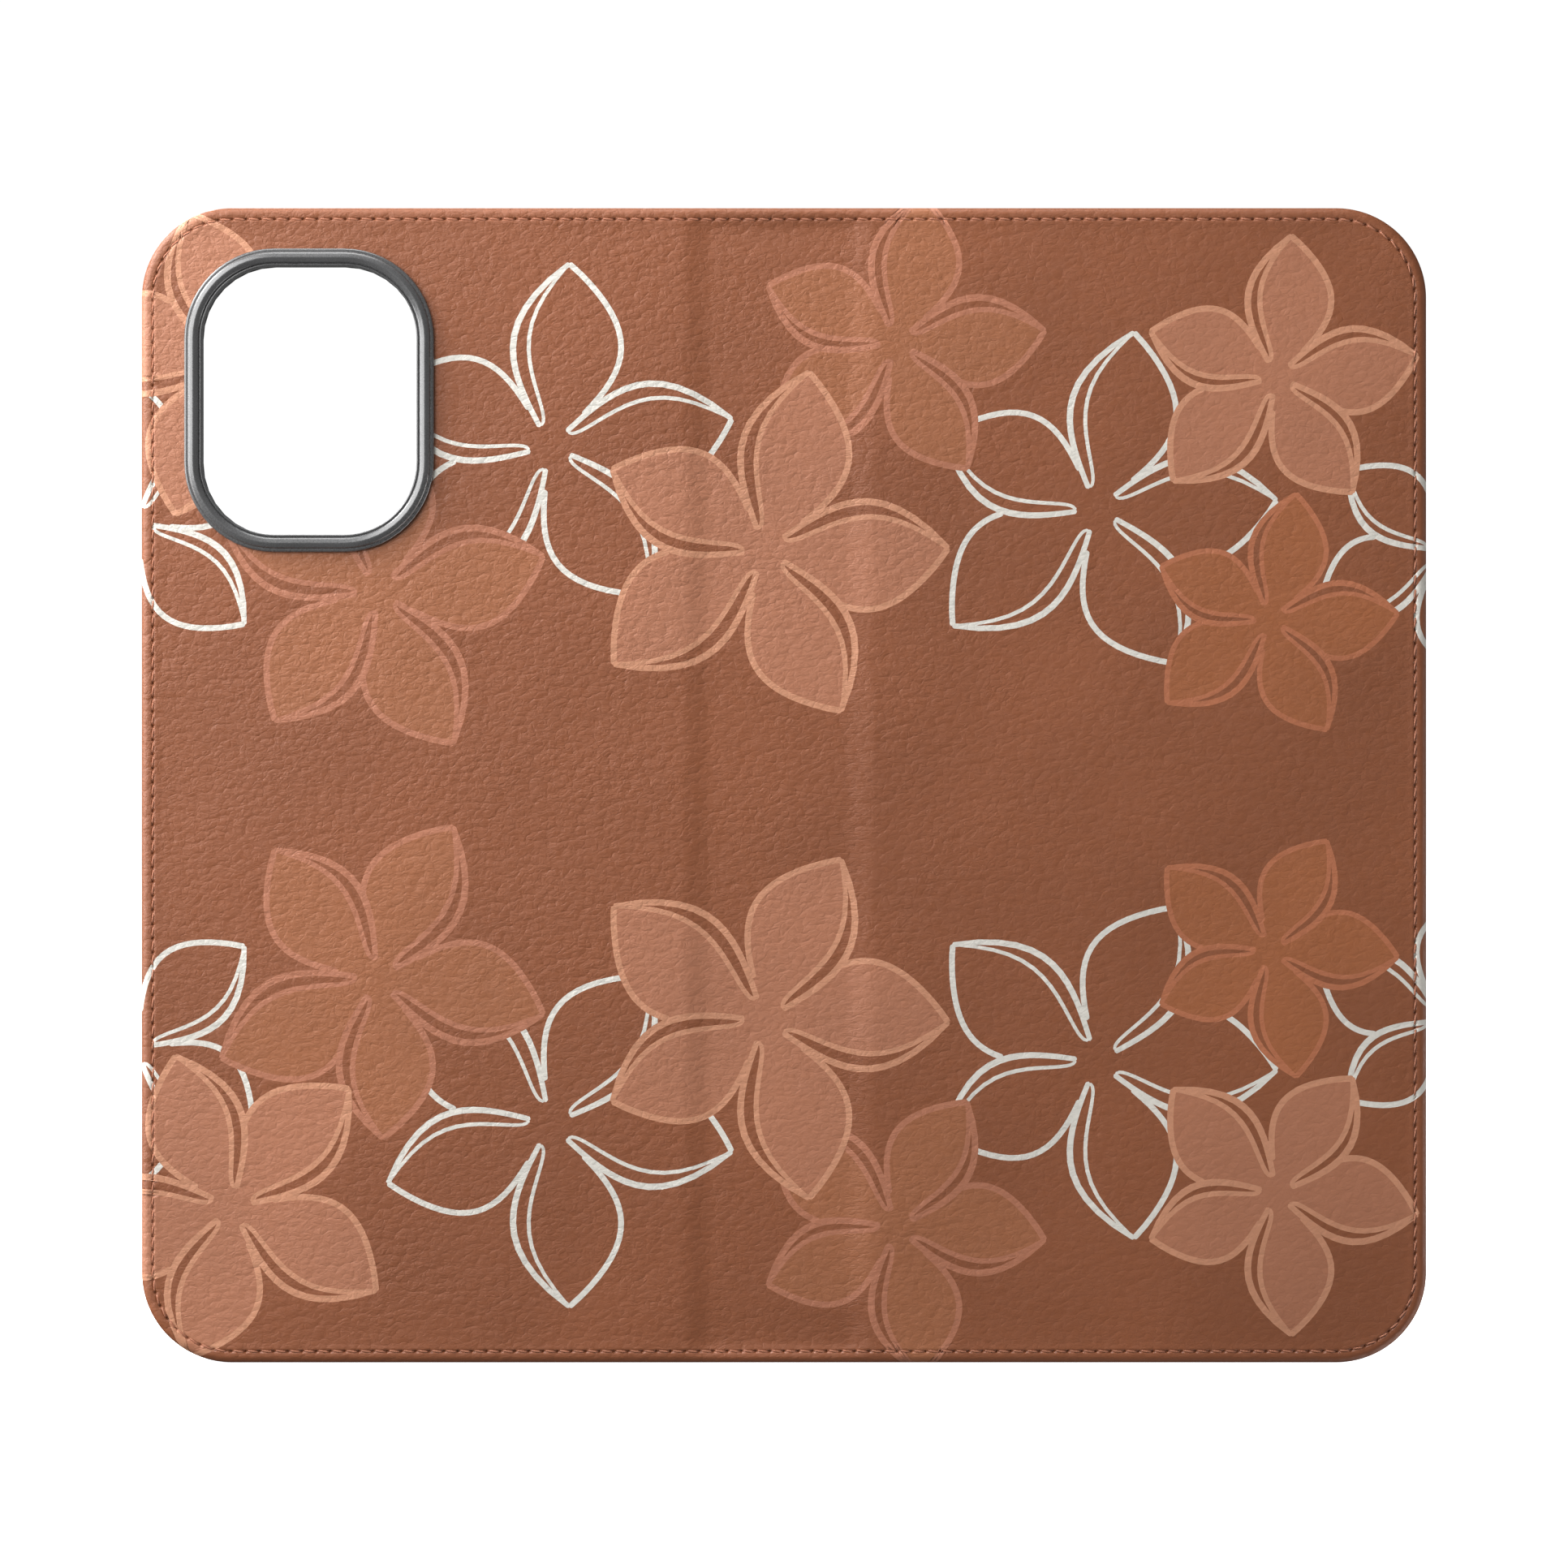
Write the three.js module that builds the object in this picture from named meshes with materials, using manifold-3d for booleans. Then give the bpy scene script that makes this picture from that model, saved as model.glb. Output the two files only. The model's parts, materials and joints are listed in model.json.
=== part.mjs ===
// Book-style (folio) phone case, lying open at 180 degrees with its outside face towards -Y.
// Units are millimetres. +X runs from the back panel over the spine to the front cover, +Z is up and
// +Y runs from the outer leather to the inside. The origin is the middle of the floor that the phone
// lies on. The two fold lines run along Z at X = SPINE_FOLD_X and X = COVER_FOLD_X.
import * as THREE from 'three';
import { mergeVertices } from 'three/addons/utils/BufferGeometryUtils.js';
import Module from 'manifold-3d';

// The phone that the shell holds, and the room around it.
const PHONE_WIDTH = 77.8;
const PHONE_HEIGHT = 160.9;
const PHONE_DEPTH = 7.8;
const PHONE_CORNER = 9.5;
const PHONE_PLAY = 0.1;

// The open case.
const CASE = { x0: -41.1, x1: 144.7, z0: -83.5, z1: 83.5, r: 13 };
const SPINE_FOLD_X = 42.9;
const COVER_FOLD_X = 61.9;

// Each fold leaves a gap in the CAD layers, so that neither turns into the other at 90 degrees.
const LEATHER_FOLD_GAP = 0.9;
const OUTER_THREAD_FOLD_GAP = 1.4;
const LINING_FOLD_GAP = 2.0;
const BOARD_FOLD_GAP = 2.7;
const SPINE_BOARD_SHORTER = 2.0;

// Thickness of each layer, and the glue line between two layers.
const SHELL_FLOOR = 1.2;
const PAD = 0.15;
const LINING = 0.5;
const BOARD = 1.0;
const LEATHER = 1.0;
const POCKET = 0.5;
const GLUE_LINE = 0.05;

// Faces of the layers, from the phone's seat at Y = 0 outwards.
const PAD_TOP = -SHELL_FLOOR - GLUE_LINE;
const LINING_TOP = PAD_TOP - PAD - GLUE_LINE;
const LINING_LOW = LINING_TOP - LINING;
const BOARD_TOP = LINING_LOW - GLUE_LINE;
const BOARD_LOW = BOARD_TOP - BOARD;
const LEATHER_TOP = BOARD_LOW - GLUE_LINE;
const OUTER_FACE = LEATHER_TOP - LEATHER;

// Distances in from the case's edge.
const EDGE_ROLL = 0.8;
const LINING_INSET = 1.1;
const STITCH_INSET = 1.65;
const BOARD_INSET = 2.6;

// Thread, drawn as a flat ribbon along each seam.
const OUTER_THREAD = { width: 0.6, height: 0.25 };
const INNER_THREAD = { width: 0.5, height: 0.18 };

// Shell that the phone snaps into.
const SHELL_WALL = 1.2;
const SHELL_LIP = 0.8;
const LIP_HEIGHT = 1.0;
const SHELL_ROUND = { size: 1.6, depth: 1.2 };
const PAD_MARGIN = 3.0;
const BUTTONS = { z0: 8, z1: 50, low: 1.6, high: 6.6 };
const PORT_SLOT = { centre: 0, width: 13, low: 1.6, high: 6.6 };
const SPEAKER_SLOT = { centre: 20, width: 15, low: 1.8, high: 6.4 };
const MICROPHONE_SLOT = { centre: 12, width: 3.4, low: 2.8, high: 5.0 };

// Guard ring round the phone's camera: a bead outside the leather and a neck down to the shell.
const CAMERA = { x0: -32.4, x1: -1.3, z0: 36.2, z1: 75.1, r: 10.5 };
const RING_WIDTH = 2.5;
const RING_BEAD = 1.2;
const RING_ROUND = 0.5;
const RING_LEDGE = 0.9;
const NECK_PLAY = 0.1;

// Pockets on the inside of the cover; their mouths face the spine.
const CASH_POCKET_MOUTH = 67.5;
const CARD_POCKET = { x0: 78, x1: 139.5, z0: -46, z1: 46, r: 3 };
const CARD_STEP = 9;
const POCKET_SEAM = 1.5;

// Closing magnets in the cover's free edge, and the steel plates that they meet in the back panel.
const MAGNET = { width: 6, height: 20, middle: 22 };
const MAGNET_X = 138.2;
const KEEPER_X = COVER_FOLD_X + SPINE_FOLD_X - MAGNET_X;
const INSERT_PLAY = 0.05;

const ARC_STEPS = 6;
const FAR = 400;

const leather = new THREE.MeshStandardMaterial({ color: 0x99634a, roughness: 0.55, metalness: 0 });
const lining = new THREE.MeshStandardMaterial({ color: 0x8a5a42, roughness: 0.8, metalness: 0 });
const board = new THREE.MeshStandardMaterial({ color: 0xb9ab92, roughness: 0.9, metalness: 0 });
const adhesive = new THREE.MeshStandardMaterial({ color: 0xe6e2d8, roughness: 0.7, metalness: 0 });
const shellPlastic = new THREE.MeshStandardMaterial({ color: 0x2b2b2e, roughness: 0.45, metalness: 0 });
const ringPlastic = new THREE.MeshStandardMaterial({ color: 0x4a4c51, roughness: 0.15, metalness: 0 });
const thread = new THREE.MeshStandardMaterial({ color: 0xa06a4d, roughness: 0.7, metalness: 0 });
const steel = new THREE.MeshStandardMaterial({ color: 0x9a9da1, roughness: 0.35, metalness: 1 });

const wasm = await Module();
wasm.setup();

// ---- shapes -------------------------------------------------------------------------------------

/** The rectangle moved in by a distance on every side, its corners staying concentric. */
function inset(rect, distance) {
  return {
    x0: rect.x0 + distance,
    x1: rect.x1 - distance,
    z0: rect.z0 + distance,
    z1: rect.z1 - distance,
    r: Math.max(rect.r - distance, 0),
  };
}

/** A rounded rectangle drawn anticlockwise on a Shape or a Path. */
function trace(path, { x0, x1, z0, z1, r }) {
  path.moveTo(x0 + r, z0);
  path.lineTo(x1 - r, z0);
  if (r > 0) path.absarc(x1 - r, z0 + r, r, -Math.PI / 2, 0);
  path.lineTo(x1, z1 - r);
  if (r > 0) path.absarc(x1 - r, z1 - r, r, 0, Math.PI / 2);
  path.lineTo(x0 + r, z1);
  if (r > 0) path.absarc(x0 + r, z1 - r, r, Math.PI / 2, Math.PI);
  path.lineTo(x0, z0 + r);
  if (r > 0) path.absarc(x0 + r, z0 + r, r, Math.PI, Math.PI * 1.5);
  return path;
}

/** A plate of the rectangle's outline between two heights along Y, with rounded rims if asked. */
function plate(rect, low, high, { round = null, hole = null } = {}) {
  const shape = trace(new THREE.Shape(), rect);
  if (hole) shape.holes.push(trace(new THREE.Path(), hole));
  const bevel = round
    ? { bevelThickness: round.depth, bevelSize: round.size, bevelOffset: -round.size, bevelSegments: 2 }
    : {};
  const trimmed = round ? round.depth : 0;
  const geometry = new THREE.ExtrudeGeometry(shape, {
    depth: high - low - 2 * trimmed,
    curveSegments: ARC_STEPS,
    bevelEnabled: round !== null,
    ...bevel,
  });
  geometry.rotateX(Math.PI / 2);
  geometry.translate(0, high - trimmed, 0);
  return solid(geometry);
}

/** A plain box between two corners. */
function block(x0, x1, low, high, z0, z1) {
  const geometry = new THREE.BoxGeometry(x1 - x0, high - low, z1 - z0);
  geometry.translate((x0 + x1) / 2, (low + high) / 2, (z0 + z1) / 2);
  return solid(geometry);
}

/** Everything between two places along X, and above or below a height along Z if asked. */
function between(x0, x1, z0 = -FAR, z1 = FAR) {
  return block(x0, x1, -FAR, FAR, z0, z1);
}

/** A three.js geometry as a manifold solid. */
function solid(geometry) {
  geometry.deleteAttribute('normal');
  geometry.deleteAttribute('uv');
  const merged = mergeVertices(geometry, 1e-5);
  return new wasm.Manifold(new wasm.Mesh({
    numProp: 3,
    vertProperties: merged.getAttribute('position').array,
    triVerts: new Uint32Array(merged.getIndex().array),
  }));
}

/** A manifold solid as a named three.js mesh. */
function piece(name, body, material) {
  const { vertProperties, triVerts } = body.getMesh();
  const geometry = new THREE.BufferGeometry();
  geometry.setAttribute('position', new THREE.BufferAttribute(vertProperties, 3));
  geometry.setIndex(new THREE.BufferAttribute(triVerts, 1));
  geometry.computeVertexNormals();
  const mesh = new THREE.Mesh(geometry, material);
  mesh.name = name;
  return mesh;
}

// ---- shell, pad and ring ------------------------------------------------------------------------

const halfWell = { x: PHONE_WIDTH / 2 + PHONE_PLAY, z: PHONE_HEIGHT / 2 + PHONE_PLAY };
const WELL = {
  x0: -halfWell.x,
  x1: halfWell.x,
  z0: -halfWell.z,
  z1: halfWell.z,
  r: PHONE_CORNER + PHONE_PLAY,
};
const WELL_DEPTH = PHONE_DEPTH + PHONE_PLAY;
const SHELL = inset(WELL, -SHELL_WALL);
const NECK = inset(CAMERA, RING_LEDGE - RING_WIDTH);
const NECK_HOLE = inset(NECK, -NECK_PLAY);

/** Tray with a floor, walls and a lip that the phone snaps under, open at its buttons and sockets. */
function phoneShell() {
  const rim = WELL_DEPTH + LIP_HEIGHT;
  const acrossWall = 4;
  const slot = ({ centre, width, low, high }, z) =>
    block(centre - width / 2, centre + width / 2, low, high, z - acrossWall, z + acrossWall);
  return plate(SHELL, -SHELL_FLOOR, rim, { round: SHELL_ROUND })
    .subtract(plate(WELL, 0, WELL_DEPTH))
    .subtract(plate(inset(WELL, SHELL_LIP), WELL_DEPTH - GLUE_LINE, rim + 1))
    .subtract(plate(CAMERA, -FAR, GLUE_LINE))
    .subtract(block(SHELL.x0 - 1, WELL.x0 + 1, BUTTONS.low, BUTTONS.high, BUTTONS.z0, BUTTONS.z1))
    .subtract(slot(PORT_SLOT, SHELL.z0))
    .subtract(slot(SPEAKER_SLOT, SHELL.z0))
    .subtract(slot(MICROPHONE_SLOT, SHELL.z1));
}

/** Double-sided sheet that bonds the shell to the lining. */
function adhesivePad() {
  const outline = inset(SHELL, PAD_MARGIN);
  return plate(outline, PAD_TOP - PAD, PAD_TOP).subtract(plate(NECK_HOLE, -FAR, FAR));
}

/** Glossy bead that stands proud of the leather, on a neck that reaches down to the shell's floor. */
function cameraGuardRing() {
  const face = OUTER_FACE - GLUE_LINE;
  const round = { size: RING_ROUND, depth: RING_ROUND };
  const bead = plate(inset(CAMERA, -RING_WIDTH), face - RING_BEAD, face, { round, hole: CAMERA });
  const neckFoot = -SHELL_FLOOR - GLUE_LINE;
  return bead.add(plate(NECK, face - RING_BEAD / 2, neckFoot, { hole: CAMERA }));
}

// ---- leather, board and lining ------------------------------------------------------------------

/** Outer leather: a face with its edge turned up round the board and the lining. */
function leatherPanel(x0, x1) {
  const rolled = { size: EDGE_ROLL, depth: EDGE_ROLL };
  const seat = inset(CASE, LINING_INSET - GLUE_LINE);
  const boardSeat = inset(CASE, BOARD_INSET - GLUE_LINE);
  let panel = plate(CASE, OUTER_FACE, LINING_TOP, { round: rolled })
    .intersect(between(x0, x1))
    .subtract(plate(seat, BOARD_TOP, FAR))
    .subtract(plate(boardSeat, LEATHER_TOP, FAR));
  for (const fold of [SPINE_FOLD_X, COVER_FOLD_X]) {
    panel = panel.subtract(block(fold - LINING_FOLD_GAP, fold + LINING_FOLD_GAP, LEATHER_TOP, FAR, -FAR, FAR));
  }
  return panel;
}

/** Stiff board between the leather and the lining. */
function boardPanel(x0, x1, extraInset = 0) {
  return plate(inset(CASE, BOARD_INSET + extraInset), BOARD_LOW, BOARD_TOP).intersect(between(x0, x1));
}

/** Lining sheet on the inside. */
function liningPanel(x0, x1) {
  return plate(inset(CASE, LINING_INSET), LINING_LOW, LINING_TOP).intersect(between(x0, x1));
}

/** One row of thread along a rounded rectangle, between two places along X. */
function seam(rect, size, low, x0, x1, z0, z1) {
  const band = plate(inset(rect, -size.width / 2), low, low + size.height, {
    hole: inset(rect, size.width / 2),
  });
  return band.intersect(between(x0, x1, z0, z1));
}

const EDGE_SEAM = inset(CASE, STITCH_INSET);

function outerSeam(x0, x1, z0, z1) {
  return seam(EDGE_SEAM, OUTER_THREAD, OUTER_FACE - GLUE_LINE - OUTER_THREAD.height, x0, x1, z0, z1);
}

function innerSeam(x0, x1, z0, z1) {
  return seam(EDGE_SEAM, INNER_THREAD, LINING_TOP + GLUE_LINE, x0, x1, z0, z1);
}

/** Outline of a magnet or keeper plate, one above and one below the middle. */
function insertOutline(x, sign) {
  const z = sign * MAGNET.middle;
  return {
    x0: x - MAGNET.width / 2,
    x1: x + MAGNET.width / 2,
    z0: z - MAGNET.height / 2,
    z1: z + MAGNET.height / 2,
    r: 1,
  };
}

function insert(x, sign) {
  return plate(insertOutline(x, sign), BOARD_LOW + INSERT_PLAY, BOARD_TOP - INSERT_PLAY);
}

function cutForInserts(panel, x) {
  return [1, -1].reduce(
    (cut, sign) => cut.subtract(plate(inset(insertOutline(x, sign), -INSERT_PLAY), -FAR, FAR)),
    panel,
  );
}

// ---- pockets ------------------------------------------------------------------------------------

/** Sheet sewn over the lining along three sides, which holds banknotes. */
function cashPocket(low) {
  return plate(inset(CASE, BOARD_INSET), low, low + POCKET).intersect(between(CASH_POCKET_MOUTH, FAR));
}

function cashSeam(low) {
  const rect = inset(CASE, BOARD_INSET + POCKET_SEAM);
  return seam(rect, INNER_THREAD, low, CASH_POCKET_MOUTH + POCKET_SEAM, FAR);
}

/** Card pockets lie on each other, each one's mouth a step further from the spine. */
function cardPocket(step, low) {
  const mouth = CARD_POCKET.x0 + step * CARD_STEP;
  return plate(CARD_POCKET, low, low + POCKET).intersect(between(mouth, FAR));
}

function cardSeam(steps, low) {
  const mouth = CARD_POCKET.x0 + (steps - 1) * CARD_STEP;
  return seam(inset(CARD_POCKET, POCKET_SEAM), INNER_THREAD, low, mouth + POCKET_SEAM, FAR);
}

// ---- the three hinged bodies --------------------------------------------------------------------

/** Where a layer of the back panel, the spine and the cover starts and ends for a gap at each fold. */
function spans(gap) {
  return {
    back: [-FAR, SPINE_FOLD_X - gap],
    spine: [SPINE_FOLD_X + gap, COVER_FOLD_X - gap],
    cover: [COVER_FOLD_X + gap, FAR],
  };
}

const leatherSpan = spans(LEATHER_FOLD_GAP);
const outerThreadSpan = spans(OUTER_THREAD_FOLD_GAP);
const liningSpan = spans(LINING_FOLD_GAP);
const boardSpan = spans(BOARD_FOLD_GAP);
const sides = [['upper', 1], ['lower', -1]];

function backPanel() {
  const neckHole = plate(NECK_HOLE, -FAR, FAR);
  const group = new THREE.Group();
  group.add(
    piece('phone_shell', phoneShell(), shellPlastic),
    piece('shell_adhesive_pad', adhesivePad(), adhesive),
    piece('camera_guard_ring', cameraGuardRing(), ringPlastic),
    piece('back_leather', leatherPanel(...leatherSpan.back).subtract(neckHole), leather),
    piece('back_board', cutForInserts(boardPanel(...boardSpan.back), KEEPER_X).subtract(neckHole), board),
    piece('back_lining', liningPanel(...liningSpan.back).subtract(neckHole), lining),
    piece('back_outer_stitching', outerSeam(...outerThreadSpan.back), thread),
    piece('back_inner_stitching', innerSeam(...liningSpan.back), thread),
  );
  for (const [side, sign] of sides) {
    group.add(piece(`keeper_plate_${side}`, insert(KEEPER_X, sign), steel));
  }
  return group;
}

function spine() {
  const group = new THREE.Group();
  group.add(
    piece('spine_leather', leatherPanel(...leatherSpan.spine), leather),
    piece('spine_board', boardPanel(...boardSpan.spine, SPINE_BOARD_SHORTER), board),
    piece('spine_lining', liningPanel(...liningSpan.spine), lining),
  );
  for (const [side, sign] of sides) {
    const half = sign > 0 ? [0, FAR] : [-FAR, 0];
    group.add(
      piece(`spine_outer_stitching_${side}`, outerSeam(...outerThreadSpan.spine, ...half), thread),
      piece(`spine_inner_stitching_${side}`, innerSeam(...liningSpan.spine, ...half), thread),
    );
  }
  return group;
}

function frontCover() {
  const layer = POCKET + GLUE_LINE;
  const cashLow = LINING_TOP + GLUE_LINE;
  const cardLow = cashLow + layer;
  const cards = ['back', 'middle', 'front'];
  const group = new THREE.Group();
  group.add(
    piece('cover_leather', leatherPanel(...leatherSpan.cover), leather),
    piece('cover_board', cutForInserts(boardPanel(...boardSpan.cover), MAGNET_X), board),
    piece('cover_lining', liningPanel(...liningSpan.cover), lining),
    piece('cover_outer_stitching', outerSeam(...outerThreadSpan.cover), thread),
    piece('cover_inner_stitching', innerSeam(...liningSpan.cover), thread),
    piece('cash_pocket', cashPocket(cashLow), lining),
    piece('cash_pocket_stitching', cashSeam(cardLow), thread),
    piece('card_pocket_stitching', cardSeam(cards.length, cardLow + cards.length * layer), thread),
  );
  cards.forEach((name, step) => {
    group.add(piece(`card_pocket_${name}`, cardPocket(step, cardLow + step * layer), lining));
  });
  for (const [side, sign] of sides) {
    group.add(piece(`cover_magnet_${side}`, insert(MAGNET_X, sign), steel));
  }
  return group;
}

const phoneCase = new THREE.Group();
phoneCase.add(backPanel(), spine(), frontCover());

export default phoneCase;
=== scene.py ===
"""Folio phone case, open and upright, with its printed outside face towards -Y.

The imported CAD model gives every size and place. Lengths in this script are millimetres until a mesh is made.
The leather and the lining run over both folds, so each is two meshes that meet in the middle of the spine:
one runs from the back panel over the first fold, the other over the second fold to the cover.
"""

import json
import math
from typing import NamedTuple

import bmesh
import bpy
import numpy as np
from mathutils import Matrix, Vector
from mathutils.geometry import delaunay_2d_cdt
from mathutils.kdtree import KDTree


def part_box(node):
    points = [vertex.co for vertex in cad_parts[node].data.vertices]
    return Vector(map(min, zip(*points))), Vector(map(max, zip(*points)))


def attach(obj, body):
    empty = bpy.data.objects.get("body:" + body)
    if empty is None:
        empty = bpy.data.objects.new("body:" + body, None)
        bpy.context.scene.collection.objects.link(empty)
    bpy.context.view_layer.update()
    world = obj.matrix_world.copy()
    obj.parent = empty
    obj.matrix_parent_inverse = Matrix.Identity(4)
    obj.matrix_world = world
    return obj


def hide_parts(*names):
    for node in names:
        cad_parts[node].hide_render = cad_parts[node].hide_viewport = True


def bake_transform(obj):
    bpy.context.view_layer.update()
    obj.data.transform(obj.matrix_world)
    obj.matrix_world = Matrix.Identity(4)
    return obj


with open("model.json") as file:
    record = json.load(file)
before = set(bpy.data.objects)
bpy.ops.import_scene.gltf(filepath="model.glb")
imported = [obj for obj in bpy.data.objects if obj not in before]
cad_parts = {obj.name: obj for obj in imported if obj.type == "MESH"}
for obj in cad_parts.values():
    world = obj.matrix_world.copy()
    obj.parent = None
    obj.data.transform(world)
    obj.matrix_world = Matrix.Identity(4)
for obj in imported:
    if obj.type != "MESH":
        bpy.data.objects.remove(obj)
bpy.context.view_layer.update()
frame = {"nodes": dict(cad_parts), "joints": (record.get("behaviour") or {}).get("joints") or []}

MM = 0.001


# ---- sizes from the frame ----


class Rect(NamedTuple):
    """A rounded rectangle in the X-Z plane."""

    x0: float
    x1: float
    z0: float
    z1: float
    r: float

    def inset(self, d):
        return Rect(self.x0 + d, self.x1 - d, self.z0 + d, self.z1 - d, max(self.r - d, 0.0))

    def corners(self, x, z):
        """How far points lie past the straight part, from the middle outwards, and on which side."""
        from_x, from_z = x - (self.x0 + self.x1) / 2, z - (self.z0 + self.z1) / 2
        over_x = np.abs(from_x) - ((self.x1 - self.x0) / 2 - self.r)
        over_z = np.abs(from_z) - ((self.z1 - self.z0) / 2 - self.r)
        return over_x, over_z, np.where(from_x >= 0, 1.0, -1.0), np.where(from_z >= 0, 1.0, -1.0)

    def depth(self, x, z):
        """Distance in from the edge, negative outside."""
        over_x, over_z, _, _ = self.corners(x, z)
        past = np.hypot(np.maximum(over_x, 0), np.maximum(over_z, 0))
        return self.r - past - np.minimum(np.maximum(over_x, over_z), 0)

    def outward(self, x, z):
        """Unit vectors in the plane that point straight out over the nearest edge."""
        over_x, over_z, side_x, side_z = self.corners(x, z)
        corner = (over_x > 0) & (over_z > 0)
        nx = np.where(corner, over_x, over_x >= over_z)
        nz = np.where(corner, over_z, over_x < over_z)
        length = np.maximum(np.hypot(nx, nz), 1e-9)
        return np.stack([side_x * nx / length, side_z * nz / length], axis=-1)

    def walk(self, step):
        """Points at an even step along the edge, anticlockwise, with their outward vectors."""
        sides = [self.x1 - self.x0 - 2 * self.r, self.z1 - self.z0 - 2 * self.r]
        arc_length = math.pi / 2 * self.r
        total = 2 * sum(sides) + 4 * arc_length
        count = round(total / step)
        points, normals = [], []
        for i in range(count):
            s = i * total / count
            for quarter in range(4):
                side = sides[quarter % 2]
                if s < side + arc_length or quarter == 3:
                    break
                s -= side + arc_length
            turn = quarter * math.pi / 2
            ahead, out = (math.cos(turn), math.sin(turn)), (math.sin(turn), -math.cos(turn))
            hub_x = self.x1 - self.r if quarter in (0, 1) else self.x0 + self.r
            hub_z = self.z0 + self.r if quarter in (0, 3) else self.z1 - self.r
            angle = max(s - side, 0) / self.r if self.r else 0
            back = max(side - s, 0)
            nx = out[0] * math.cos(angle) + ahead[0] * math.sin(angle)
            nz = out[1] * math.cos(angle) + ahead[1] * math.sin(angle)
            points.append((hub_x + self.r * nx - back * ahead[0], hub_z + self.r * nz - back * ahead[1]))
            normals.append((nx, nz))
        return np.array(points), np.array(normals)


def node_box(name):
    """A node's corners in millimetres."""
    low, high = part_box(name)
    return [c / MM for c in low], [c / MM for c in high]


def rect_of(name, r):
    low, high = node_box(name)
    return Rect(low[0], high[0], low[2], high[2], r)


back_low, back_high = node_box("back_leather")
free_edge = node_box("cover_leather")[1][0]
CASE = Rect(back_low[0], free_edge, back_low[2], back_high[2], 13.0)
OUTER_FACE = back_low[1]
INNER_FACE = back_high[1]
SPINE_FOLD, COVER_FOLD = (joint["pos_m"][0] / MM for joint in frame["joints"])
FOLDS = (SPINE_FOLD, COVER_FOLD)
MID_SPINE = (SPINE_FOLD + COVER_FOLD) / 2

RING = rect_of("camera_guard_ring", 13.0)
RING_WIDTH = 2.5
CAMERA = RING.inset(RING_WIDTH)
RING_TOP = node_box("camera_guard_ring")[0][1]
RING_FOOT = node_box("camera_guard_ring")[1][1]
LEATHER_HOLE = CAMERA.inset(-1.9)

SEAM_INSET = 1.65
STITCH = 2.05
STITCH_GAP = 0.12
PER_STITCH = 4
SEAM = CASE.inset(SEAM_INSET)

LEATHER_THICK = 0.55
LINING_THICK = 0.4

# The two halves of a skin: where each lies along X, the bodies and the fold that it joins, and its fields.
HALVES = {
    "back": ((-math.inf, MID_SPINE), ("back_panel", "spine", SPINE_FOLD)),
    "cover": ((MID_SPINE, math.inf), ("spine", "front_cover", COVER_FOLD)),
}
FIELDS = {"back": ("back", "spine"), "cover": ("cover",)}


# ---- small helpers ----


def smooth(t, start, end):
    t = np.clip((t - start) / (end - start), 0, 1)
    return t * t * (3 - 2 * t)


def bell(t, middle, width):
    return np.exp(-(((t - middle) / width) ** 2))


def round_over(d, reach):
    """How far a quarter-round edge has dropped at a distance in from it, as a share of its height."""
    return 1 - np.sqrt(np.maximum(1 - (1 - np.minimum(d / reach, 1)) ** 2, 0))


def new_object(name, verts, faces, normals=None, shade=True):
    """A mesh piece from points in millimetres."""
    mesh = bpy.data.meshes.new(name)
    mesh.from_pydata((np.asarray(verts) * MM).tolist(), [], [list(map(int, f)) for f in faces])
    mesh.update()
    mesh.polygons.foreach_set("use_smooth", [shade] * len(mesh.polygons))
    if normals is not None:
        mesh.normals_split_custom_set_from_vertices(np.asarray(normals).tolist())
    obj = bpy.data.objects.new(name, mesh)
    bpy.context.scene.collection.objects.link(obj)
    return obj


def open_edges(faces):
    """Edges used by one face only, in that face's direction."""
    used = {}
    for face in faces:
        for a, b in zip(face, face[1:] + face[:1]):
            if (b, a) in used:
                del used[(b, a)]
            else:
                used[(a, b)] = True
    return list(used)


# ---- sheets: leather, lining and pockets ----

HOLE_STEP = 0.8
HOLE_GAP = 0.3
GRID_GAP = 0.4
SPLIT_END = 4.0
ON_EDGE = 5e-3
NORMAL_INSET = 0.03
EDGE_LEAN = 0.15
NO_POINTS = np.empty((0, 2))


class Layout:
    """The points of a flat sheet, and the loops of points that its triangles keep to."""

    def __init__(self):
        self.points = []
        self.loops = []
        self.count = 0

    def add(self, points):
        first = self.count
        self.points.append(np.asarray(points))
        self.count += len(points)
        return first

    def add_loop(self, points):
        first = self.add(points)
        self.loops.append(list(range(first, self.count)))


def grid_points(rect, margin, columns, rows, holes):
    """Crossings of the columns and rows that lie clear of the sheet's edge and holes."""
    grid_x, grid_z = np.meshgrid(columns, rows)
    grid = np.stack([grid_x.ravel(), grid_z.ravel()], axis=-1)
    clear = rect.depth(grid[:, 0], grid[:, 1]) > margin
    for hole in holes:
        clear &= hole.depth(grid[:, 0], grid[:, 1]) < -HOLE_GAP
    return grid[clear]


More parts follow.
